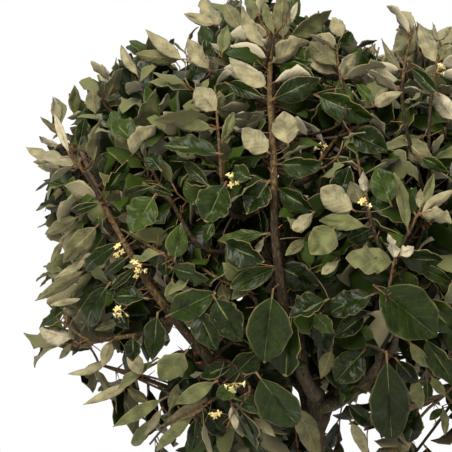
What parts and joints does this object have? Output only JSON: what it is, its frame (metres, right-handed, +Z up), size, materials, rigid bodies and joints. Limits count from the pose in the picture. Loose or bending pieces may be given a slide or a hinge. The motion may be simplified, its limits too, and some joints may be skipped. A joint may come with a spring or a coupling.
{
  "type": "standard lollipop topiary",
  "caption": "Broad-leaved evergreen shrub grown as a round head on a clear stem, in a plain round clay pot.",
  "frame": {"origin": "centre of the pot's flat underside, under the trunk's foot", "axes": "+Z up along the trunk, -Y the plant's front, +X to the right seen from the front"},
  "size_m": [0.6408, 0.6297, 1.6801],
  "materials": {
    "fired_clay": "matte unglazed",
    "bark_compost": "rough, crumbly",
    "young_bark": "rough",
    "foliage": "leathery, half glossy above and silvery matte below"
  },
  "bodies": {
    "root": {"bough_back": "young_bark", "bough_back_left": "young_bark", "bough_back_left_upper": "young_bark", "bough_back_lower": "young_bark", "bough_back_right": "young_bark", "bough_back_right_lower": "young_bark", "bough_back_upper": "young_bark", "bough_front_lower": "young_bark", "bough_front_right": "young_bark", "bough_front_right_lower": "young_bark", "bough_front_right_upper": "young_bark", "bough_leader": "young_bark", "bough_left": "young_bark", "bough_left_lower": "young_bark", "bough_left_upper": "young_bark", "bough_right": "young_bark", "bough_right_back": "young_bark", "bough_right_lower": "young_bark", "bough_right_upper": "young_bark", "bough_top": "young_bark", "compost": "bark_compost", "foliage_back": "foliage", "foliage_back_left": "foliage", "foliage_back_left_upper": "foliage", "foliage_back_lower": "foliage", "foliage_back_right": "foliage", "foliage_back_right_lower": "foliage", "foliage_back_upper": "foliage", "foliage_front_lower": "foliage", "foliage_front_right": "foliage", "foliage_front_right_lower": "foliage", "foliage_front_right_upper": "foliage", "foliage_front_upper": "foliage", "foliage_left": "foliage", "foliage_left_lower": "foliage", "foliage_left_upper": "foliage", "foliage_right": "foliage", "foliage_right_back": "foliage", "foliage_right_lower": "foliage", "foliage_right_upper": "foliage", "foliage_top": "foliage", "pot": "fired_clay", "trunk": "young_bark"}
  },
  "joints": []
}
